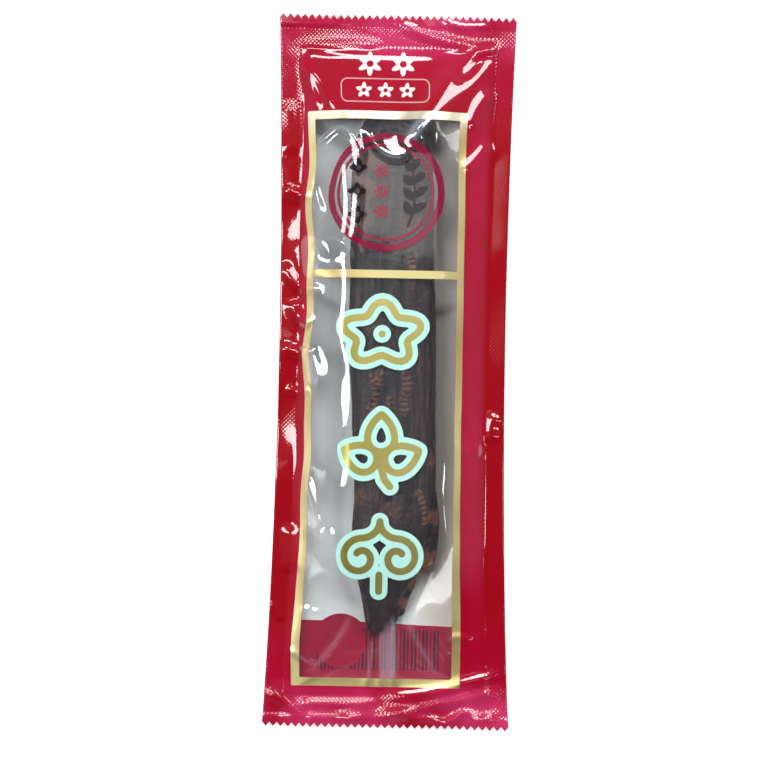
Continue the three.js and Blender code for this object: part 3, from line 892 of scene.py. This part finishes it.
def wrinkle_root(mesh, root):
    """Moves each point along its normal: furrows along the body, rings round it, lumps and fine grain."""
    points = read_points(mesh)
    normals = point_normals(mesh)
    y = points[:, 1]
    bend = np.stack([points[:, 0] + 0.8 * np.sin(y / 11), y, points[:, 2]], axis=1)
    wide_furrow = np.abs(lattice_noise(bend, (3.4, 26, 3.4), 5))
    furrow = np.abs(lattice_noise(bend, (1.5, 13, 1.5), 6))
    striation = lattice_noise(bend, (0.7, 6, 0.7), 7)
    lump = lattice_noise(points, (6, 11, 6), 8)
    grain = lattice_noise(points, (0.7, 0.9, 0.7), 9)
    wander = 1.6 * lattice_noise(points, (5, 7, 5), 10)
    rings = np.sin(2 * math.pi * (y + wander) / 1.7) * lattice_noise(points, (7, 5, 7), 12)
    near_head = 0.35 + 0.65 * ease((y - 35) / 25)
    pressed = np.clip(np.abs(normals[:, 2]), 0, 1) ** 2
    free = 1 - 0.45 * pressed
    furrow_depth, ring_depth = root.furrow / MM, root.ring / MM
    sunk = furrow_depth * (0.75 * (1 - wide_furrow) ** 5 + 0.7 * (1 - furrow) ** 4)
    corky = patch_strength(points)
    height = (-sunk * free + 0.1 * striation + 0.22 * lump * free + ring_depth * rings * near_head
              + (0.06 + 0.16 * corky) * grain - 0.12)
    near, phase = beads_on(points)
    height += near * (0.16 * phase + 0.12)
    broken = ease(0.75 + 0.9 * lattice_noise(points, (1.1, 1.5, 1.1), 35))
    corky = np.maximum(corky * (1 - near), near * broken * (0.42 + 0.3 * phase))
    sunk = np.maximum(sunk, near * furrow_depth * ease(-phase))
    stub = ease((6 - np.hypot(points[:, 0] - 9, y + 49)) / 4)
    height += stub * 0.7 * lattice_noise(points, (1.7, 2.2, 1.7), 14)
    moved = points + normals * height[:, None]
    moved[:, 2] = np.clip(moved[:, 2], ROOT_FLOOR, HEIGHT - 0.4)
    write_points(mesh, moved)
    write_value(mesh, "corky", corky)
    write_value(mesh, "hollow", np.clip(sunk / furrow_depth, 0, 1))
    write_value(mesh, "tail", ease((-y - 40) / 16))


def make_root(root):
    """The whole root, one closed skin."""
    points, faces, start = [], [], 0
    for part_points, part_faces in root_parts():
        points.append(part_points)
        faces += [[corner + start for corner in face] for face in part_faces]
        start += len(part_points)
    piece = new_object("pressed_root", np.concatenate(points), faces)
    remesh(piece, root.voxel)
    wrinkle_root(piece.data, root)
    finish_piece(piece, "root_skin", root_skin_material(root), "ginseng_root")
    return piece


# ---------------------------------------------------------------- materials

def root_skin_material(root):
    """Steamed and dried root bark: a hard, waxy, nearly translucent dark skin, its dull ridges lighter in
    streaks and its furrows darkened as painted shade.
    """
    material, tree, output = new_material("Steamed root bark")
    place = add(tree, "TexCoord").outputs["Object"]
    along_grain = add(tree, "Mapping", {"Scale": (900.0, 110.0, 900.0)}, Vector=place).outputs[0]
    streak = add(tree, "TexNoise", {"Scale": 1.0, "Detail": 5.0, "Roughness": 0.6}, Vector=along_grain)
    grit = add(tree, "TexNoise", {"Scale": 1500.0, "Detail": 3.0, "Roughness": 0.7}, Vector=place)
    mottle = add(tree, "TexNoise", {"Scale": 130.0, "Detail": 3.0, "Roughness": 0.6}, Vector=place)
    hollow = value_of(tree, "hollow")
    corky = value_of(tree, "corky")

    def spread(source, low, high):
        return add(tree, "MapRange", {"From Min": low, "From Max": high}, Value=source).outputs["Result"]

    raised = maths(tree, "SUBTRACT", 1.0, hollow)
    ridges = maths(tree, "MULTIPLY", spread(streak.outputs["Fac"], 0.48, 0.72), raised)
    # Painted shade: the furrows and the troughs between the rootlets' beads are darkened towards near
    # black.
    painted_hollow_shade = mix(tree, hollow, root.skin, linear("#0C0709"))
    body = mix(tree, maths(tree, "MULTIPLY", ridges, 0.75), painted_hollow_shade, root.ridge)
    darker = maths(tree, "MULTIPLY", spread(mottle.outputs["Fac"], 0.35, 0.7), 0.5)
    body = mix(tree, darker, body, linear("#1D1014"))
    flecks = maths(tree, "MULTIPLY", spread(grit.outputs["Fac"], 0.66, 0.74), 0.6)
    body = mix(tree, flecks, body, linear("#A9825C"))
    cork = mix(tree, spread(grit.outputs["Fac"], 0.4, 0.6), root.ridge, root.scar)
    body = mix(tree, corky, body, cork)
    relief = maths(tree, "ADD", maths(tree, "MULTIPLY", streak.outputs["Fac"], 0.7), grit.outputs["Fac"])
    bump = add(tree, "Bump", {"Strength": 0.8, "Distance": 0.00018}, Height=relief).outputs[0]
    rough = spread(maths(tree, "ADD", grit.outputs["Fac"], maths(tree, "MULTIPLY", corky, 0.3)), 0.0, 1.4)
    rough = add(tree, "MapRange", {"To Min": 0.34, "To Max": 0.75}, Value=rough).outputs["Result"]
    skin = add(tree, "BsdfPrincipled", {"IOR": 1.5, "Specular IOR Level": 0.5},
               Base_Color=body, Roughness=rough, Normal=bump)
    tree.links.new(skin.outputs[0], output.inputs["Surface"])
    return material


def wave_of(tree, source, pitch):
    """A sine wave that repeats every `pitch` along the source."""
    return maths(tree, "SINE", maths(tree, "MULTIPLY", source, 2 * math.pi / pitch))


def crimp_bump(tree, film, strength):
    """Normals of the crimped seals, sin(u) sin(v) in diamonds, and of the film's fine orange peel."""
    u, v, seal = (value_of(tree, name) for name in ("across", "along", "seal"))
    waves = [wave_of(tree, place, film.hatch / MM) for place in (u, v)]
    hatch = maths(tree, "MULTIPLY", maths(tree, "MULTIPLY", *waves), seal)
    peel = noise_at(tree, 260.0)
    height = maths(tree, "ADD", maths(tree, "MULTIPLY", hatch, 1.4), maths(tree, "MULTIPLY", peel, 0.55))
    return add(tree, "Bump", {"Strength": strength, "Distance": 0.00009}, Height=height).outputs[0]


def stroke_mask(tree, source, centre, half, softness=0.07):
    """1 within `half` of the value `centre`."""
    away = maths(tree, "ABSOLUTE", maths(tree, "SUBTRACT", source, centre))
    return step_below(tree, away, softness, half)


def both_of(tree, first, second):
    return maths(tree, "MULTIPLY", first, second)


def either_of(tree, first, second):
    return maths(tree, "MAXIMUM", first, second)


def noise_at(tree, scale, detail=2.0):
    """Noise on Object coordinates."""
    place = add(tree, "TexCoord").outputs["Object"]
    return add(tree, "TexNoise", {"Scale": scale, "Detail": detail}, Vector=place).outputs["Fac"]


def front_film_material(film):
    """Clear glossy laminate, printed in reverse: inks lie under the gloss, and the window is bare film."""
    material, tree, output = new_material("Reverse printed polyester laminate")
    u, v = value_of(tree, "across"), value_of(tree, "along")
    frame_edge, stroke, emblem = (value_of(tree, name) for name in ("frame", "stroke", "emblem"))

    inside = step_below(tree, frame_edge)
    window = step_below(tree, frame_edge, level=-FRAME_STROKE)
    divider = both_of(tree, stroke_mask(tree, v, DIVIDER_AT, DIVIDER_STROKE / 2), inside)
    border = both_of(tree, inside, maths(tree, "SUBTRACT", 1.0, window))
    core = step_below(tree, stroke, level=CORE_HALF)
    outline = step_below(tree, stroke, level=OUTLINE_HALF)
    gold = either_of(tree, either_of(tree, border, divider), core)
    rings = either_of(tree, stroke_mask(tree, emblem, RING_RADII[0], RING_STROKES[0] / 2),
                      stroke_mask(tree, emblem, RING_RADII[1], RING_STROKES[1] / 2))
    red_marks = step_below(tree, value_of(tree, "red_marks"))
    black = step_below(tree, value_of(tree, "black"))
    label = maths(tree, "MULTIPLY", stroke_mask(tree, value_of(tree, "label"), 0.0, LABEL_STROKE / 2), 0.45)
    white = either_of(tree, step_below(tree, value_of(tree, "white")), label)

    # The red ink is thinner over the slack strips beside the window, where light comes through it as
    # magenta: partly the thinner ink's own colour, partly a painted glow, laid on those strips and towards
    # both ends in noise blotches.
    away = value_of(tree, "from_seal")
    strip = both_of(tree, between(tree, away, -0.4, 1.6), between(tree, away, 7.5, 4.0))
    cloud = between(tree, noise_at(tree, 60.0), 0.35, 0.65)
    ends = between(tree, maths(tree, "ABSOLUTE", v), 58.0, 80.0)
    thin_and_backlit = maths(tree, "MULTIPLY", either_of(tree, strip, ends),
                 maths(tree, "ADD", 0.3, maths(tree, "MULTIPLY", cloud, 0.6)))
    inks = mix(tree, thin_and_backlit, film.red, film.backlit_pink)
    # Painted sheen: bright magenta blotches across both end seals.
    painted_magenta_sheen = maths(tree, "MULTIPLY", between(tree, maths(tree, "ABSOLUTE", v), 77.0, 82.0, 0.5), cloud)
    inks = mix(tree, painted_magenta_sheen, inks, linear("#DC4A82"))
    inks = mix(tree, white, inks, film.white)
    shade = between(tree, noise_at(tree, 45.0, 1.0), 0.35, 0.65)
    gold_ink = mix(tree, shade, mix(tree, 0.55, film.gold, linear("#B27C50")), film.gold)
    # Painted highlights: the gold is lightened towards the left border and towards the head.
    gold_ink = mix(tree, between(tree, u, -20.0, -23.0, 0.45), gold_ink, linear("#FFF3BC"))
    gold_ink = mix(tree, between(tree, v, 58.0, 64.0, 0.75), gold_ink, linear("#FFFBE6"))
    old_gold = mix(tree, maths(tree, "MULTIPLY", shade, 0.4), linear("#B2A957"), film.gold)
    gold_ink = mix(tree, core, gold_ink, old_gold)
    inks = mix(tree, outline, inks, film.mint)
    inks = mix(tree, rings, inks, linear("#8E0F3A"))
    inks = mix(tree, red_marks, inks, linear("#A01038"))
    inks = mix(tree, black, inks, linear("#16161E"))
    inks = mix(tree, gold, inks, gold_ink)
    metal = maths(tree, "MULTIPLY", gold, 0.75)
    bump = crimp_bump(tree, film, 0.2)
    printed = add(tree, "BsdfPrincipled",
                  {"Roughness": 0.42, "IOR": 1.5, "Specular IOR Level": 0.1, "Coat Weight": 1.0,
                   "Coat Roughness": 0.05, "Coat IOR": 1.65},
                  Base_Color=inks, Metallic=metal, Normal=bump, Coat_Normal=bump)

    # Bare film: light passes, and a faint bluish milky veil stays everywhere, standing in partly for a
    # painted reflection of the room over the window. The veil thickens along the folds and under the root's
    # tip as painted glare, and the gloss grows towards the edge as (1 - cos)^5.
    facing = add(tree, "LayerWeight", {"Blend": 0.5}, Normal=bump).outputs["Facing"]
    gloss_share = maths(tree, "MULTIPLY_ADD", maths(tree, "POWER", facing, 5.0), 0.9, 0.055)
    clear = add(tree, "BsdfTransparent", {"Color": (0.97, 0.98, 0.98, 1)})
    veil = add(tree, "BsdfPrincipled", {"Base Color": (0.74, 0.79, 0.92, 1), "Roughness": 0.6})
    gloss = add(tree, "BsdfAnisotropic", {"Color": (1, 1, 1, 1), "Roughness": 0.05}, Normal=bump)
    # Painted glare: the veil thickens along the folds and under the root's tip.
    milk_and_glare = maths(tree, "MULTIPLY_ADD", value_of(tree, "painted_glare"), 0.28, 0.013)
    milky_glare_veil = add(tree, "MixShader", s0=milk_and_glare, s1=clear.outputs[0], s2=veil.outputs[0])
    bare = add(tree, "MixShader", s0=gloss_share, s1=milky_glare_veil.outputs[0], s2=gloss.outputs[0])

    ring_ink = maths(tree, "MULTIPLY", either_of(tree, rings, red_marks), 0.8)
    marks = either_of(tree, ring_ink, maths(tree, "MULTIPLY", black, 0.95))
    covered = either_of(tree, either_of(tree, gold, outline), marks)
    covered = either_of(tree, covered, maths(tree, "SUBTRACT", 1.0, window))
    whole = add(tree, "MixShader", s0=covered, s1=bare.outputs[0], s2=printed.outputs[0])
    tree.links.new(whole.outputs[0], output.inputs["Surface"])
    return material


def back_film_material(film):
    """Opaque glossy laminate: pearl white in a red border, with a red band and plain bars at the foot."""
    material, tree, output = new_material("White backed polyester laminate")
    u = value_of(tree, "across")
    panel = step_below(tree, value_of(tree, "panel"))
    band = step_below(tree, value_of(tree, "band"))
    badge = step_below(tree, value_of(tree, "hump"), level=-0.8)
    fine, coarse = (wave_of(tree, u, pitch) for pitch in BAR_PITCHES)
    bars = both_of(tree, step_below(tree, value_of(tree, "bars")),
                   step_below(tree, maths(tree, "MULTIPLY_ADD", coarse, 0.6, fine), 0.3, 0.0))
    bars = both_of(tree, bars, maths(tree, "SUBTRACT", 1.0, badge))
    # Painted shade: the pearl is darkened towards grey in soft noise blotches, and tinted darker and warmer
    # towards the right side of the window.
    pearl = mix(tree, noise_at(tree, 40.0), film.pearl, mix(tree, 0.25, film.pearl, linear("#8F8A84")))
    pearl = mix(tree, between(tree, u, 4.0, 14.0, 0.7), pearl, linear("#E8D6C2"))
    inks = mix(tree, band, pearl, linear("#B00A3A"))
    inks = mix(tree, maths(tree, "MULTIPLY", bars, 0.85), inks, linear("#300C20"))
    inks = mix(tree, panel, film.red, inks)
    bump = crimp_bump(tree, film, 0.2)
    printed = add(tree, "BsdfPrincipled",
                  {"Roughness": 0.4, "IOR": 1.5, "Specular IOR Level": 0.2, "Coat Weight": 1.0,
                   "Coat Roughness": 0.07},
                  Base_Color=inks, Normal=bump, Coat_Normal=bump)
    tree.links.new(printed.outputs[0], output.inputs["Surface"])
    return material


# ---------------------------------------------------------------- pieces

FRONT_ROWS, BACK_ROWS = 372, 330


def make_front_film(film):
    """The printed front film."""
    piece, x, y, z = film_shell("front_film_skin", film, FRONT_ROWS, front_height, -1)
    smooth = front_height(x, y, film) - film_detail(x, y, film, FRONT_FOLDS, 3)
    write_front_print(piece.data, across_film(x, smooth) + print_wander(x, y), y, x, y, film)
    finish_piece(piece, "printed_film", front_film_material(film), "front_film")


def make_back_film(film):
    """The back film that the root lies on."""
    piece, x, y, z = film_shell("back_film_skin", film, BACK_ROWS, back_height, 1)
    write_back_print(piece.data, across_film(x, z), y, x, y, film)
    finish_piece(piece, "backing_film", back_film_material(film), "back_film")


def make_stage(stage):
    """Camera straight above, pale floor, white surroundings and two soft strips of light."""
    scene = bpy.context.scene
    lens = bpy.data.cameras.new("camera")
    lens.lens = lens.sensor_width * (stage.camera_height - SEAM_MIDDLE * MM) / stage.view_width
    camera = bpy.data.objects.new("camera", lens)
    camera.location = (VIEW_CENTRE[0] * MM, VIEW_CENTRE[1] * MM, stage.camera_height)
    camera.rotation_euler = (0, 0, math.radians(VIEW_TURN))
    scene.collection.objects.link(camera)
    scene.camera = camera

    floor_mesh = bpy.data.meshes.new("floor")
    corners = [(-3, -3), (3, -3), (3, 3), (-3, 3)]
    floor_mesh.from_pydata([(x, y, -0.0002) for x, y in corners], [], [(0, 1, 2, 3)])
    floor = bpy.data.objects.new("floor", floor_mesh)
    scene.collection.objects.link(floor)
    material, tree, output = new_material("Matt white card")
    card = add(tree, "BsdfPrincipled", {"Base Color": rgba(stage.floor), "Roughness": 0.85,
                                        "Emission Color": (1, 1, 1, 1), "Emission Strength": 0.6})
    tree.links.new(card.outputs[0], output.inputs["Surface"])
    floor_mesh.materials.append(material)

    # White walls all round and a dim ceiling, so that level film reflects little and keeps its colour.
    world = bpy.data.worlds.new("white room")
    world.use_nodes = True
    room = world.node_tree
    background = room.nodes["Background"]
    background.inputs["Color"].default_value = rgba(linear("#F4F7FF"))
    up = add(room, "SeparateXYZ", Vector=add(room, "TexCoord").outputs["Generated"]).outputs["Z"]
    glow = add(room, "MapRange", {"From Min": CEILING_EDGE[0], "From Max": CEILING_EDGE[1],
                                  "To Min": WALL_GLOW, "To Max": CEILING_GLOW}, Value=up)
    room.links.new(glow.outputs["Result"], background.inputs["Strength"])
    scene.world = world

    for name, place, size, watts in LIGHTS:
        light = bpy.data.lights.new(name, "AREA")
        light.shape, light.size, light.size_y, light.energy = "RECTANGLE", size[0], size[1], watts
        lamp = bpy.data.objects.new(name, light)
        lamp.location = place
        lamp.rotation_euler = (Vector(place)).to_track_quat("Z", "Y").to_euler()
        scene.collection.objects.link(lamp)
    scene.view_settings.view_transform = "Standard"


VIEW_CENTRE, VIEW_TURN, SEAM_MIDDLE = (-3.28, -1.62), 1.1, 6.0
WALL_GLOW, CEILING_GLOW, CEILING_EDGE = 0.26, 0.015, (0.35, 0.78)
# Lights: (name, place, (width, height), watts), in metres, each facing the part.
LIGHTS = [
    ("left window", (-0.75, 0.1, 1.1), (0.32, 0.9), 11.5),
    ("head window", (0.0, 0.8, 1.15), (0.7, 0.2), 6.6),
    ("head right corner", (0.7, 0.7, 0.95), (0.45, 0.45), 7.5),
    ("right window", (0.8, -0.2, 1.0), (0.06, 0.5), 1.0),
    ("head panel", (0.0, 0.2, 1.2), (0.12, 0.22), 0.08),
]


# ---------------------------------------------------------------- operators and panel

class SACHET_OT_stage(bpy.types.Operator):
    """Makes the camera, the lights and the floor"""

    bl_idname = "sachet.stage"
    bl_label = "Stage"

    def execute(self, context):
        make_stage(context.scene.sachet_stage)
        return {"FINISHED"}


class SACHET_OT_root(bpy.types.Operator):
    """Makes the pressed root"""

    bl_idname = "sachet.root"
    bl_label = "Root"

    def execute(self, context):
        make_root(context.scene.sachet_root)
        return {"FINISHED"}


class SACHET_OT_front_film(bpy.types.Operator):
    """Makes the printed front film with its clear window"""

    bl_idname = "sachet.front_film"
    bl_label = "Front film"

    def execute(self, context):
        make_front_film(context.scene.sachet_film)
        return {"FINISHED"}


class SACHET_OT_back_film(bpy.types.Operator):
    """Makes the white backed film under the root"""

    bl_idname = "sachet.back_film"
    bl_label = "Back film"

    def execute(self, context):
        make_back_film(context.scene.sachet_film)
        return {"FINISHED"}


class SACHET_PT_panel(bpy.types.Panel):
    """Lists the settings and the pieces"""

    bl_idname = "SACHET_PT_panel"
    bl_label = "Ginseng Root Sachet"
    bl_space_type = "VIEW_3D"
    bl_region_type = "UI"
    bl_category = "Sachet"

    def draw(self, context):
        for settings, operators in (
            (context.scene.sachet_stage, (SACHET_OT_stage,)),
            (context.scene.sachet_root, (SACHET_OT_root,)),
            (context.scene.sachet_film, (SACHET_OT_back_film, SACHET_OT_front_film)),
        ):
            box = self.layout.box()
            for name in settings.__annotations__:
                box.prop(settings, name)
            for operator in operators:
                box.operator(operator.bl_idname)


SETTINGS = {"sachet_stage": StageSettings, "sachet_root": RootSettings, "sachet_film": FilmSettings}
CLASSES = (*SETTINGS.values(), SACHET_OT_stage, SACHET_OT_root, SACHET_OT_front_film,
           SACHET_OT_back_film, SACHET_PT_panel)


def register():
    for cls in CLASSES:
        bpy.utils.register_class(cls)
    for name, group in SETTINGS.items():
        setattr(bpy.types.Scene, name, bpy.props.PointerProperty(type=group))


def unregister():
    for name in SETTINGS:
        delattr(bpy.types.Scene, name)
    for cls in reversed(CLASSES):
        bpy.utils.unregister_class(cls)


def main():
    """Makes everything in order."""
    register()
    bpy.ops.sachet.stage()
    bpy.ops.sachet.root()
    bpy.ops.sachet.back_film()
    bpy.ops.sachet.front_film()


if __name__ == "__main__":
    main()
